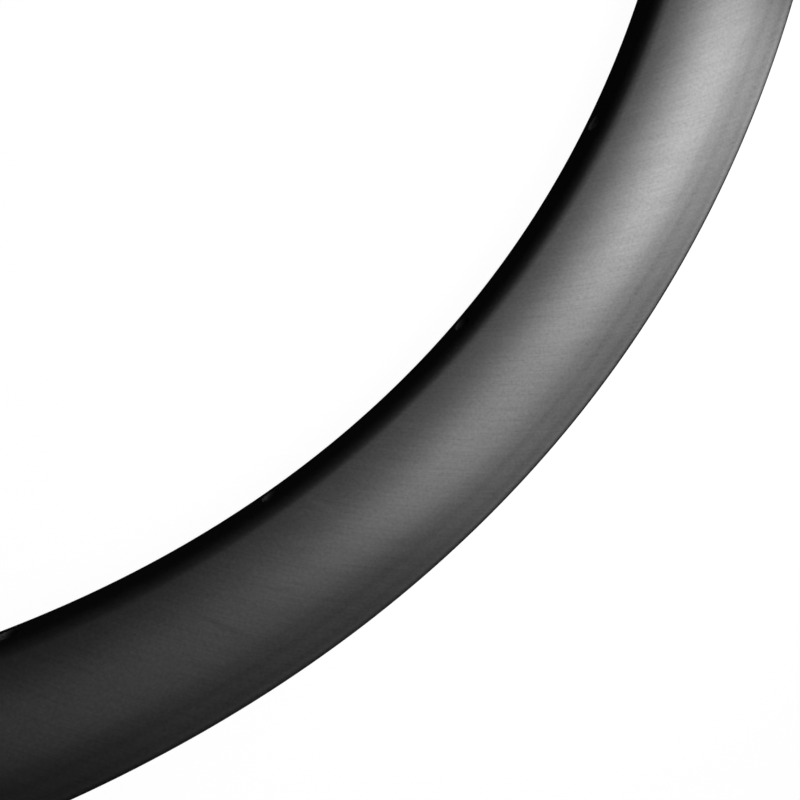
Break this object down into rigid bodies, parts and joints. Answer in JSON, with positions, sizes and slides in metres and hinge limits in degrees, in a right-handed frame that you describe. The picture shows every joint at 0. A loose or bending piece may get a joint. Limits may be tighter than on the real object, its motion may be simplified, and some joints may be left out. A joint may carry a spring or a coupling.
{
  "type": "bicycle rim",
  "caption": "Deep hollow carbon bicycle rim for disc brakes, with a rounded nose, bulged side walls, tyre flanges, spoke holes and a valve hole.",
  "frame": {"origin": "centre of the wheel, on the rim's mid-plane", "axes": "+Z along the wheel's axis, +Y through the valve hole, +X to the right seen from above"},
  "size_m": [0.6329, 0.633, 0.0288],
  "materials": {
    "carbon": "matte clear coat over unidirectional carbon fibre"
  },
  "bodies": {
    "root": {"rim": "carbon"}
  },
  "joints": []
}
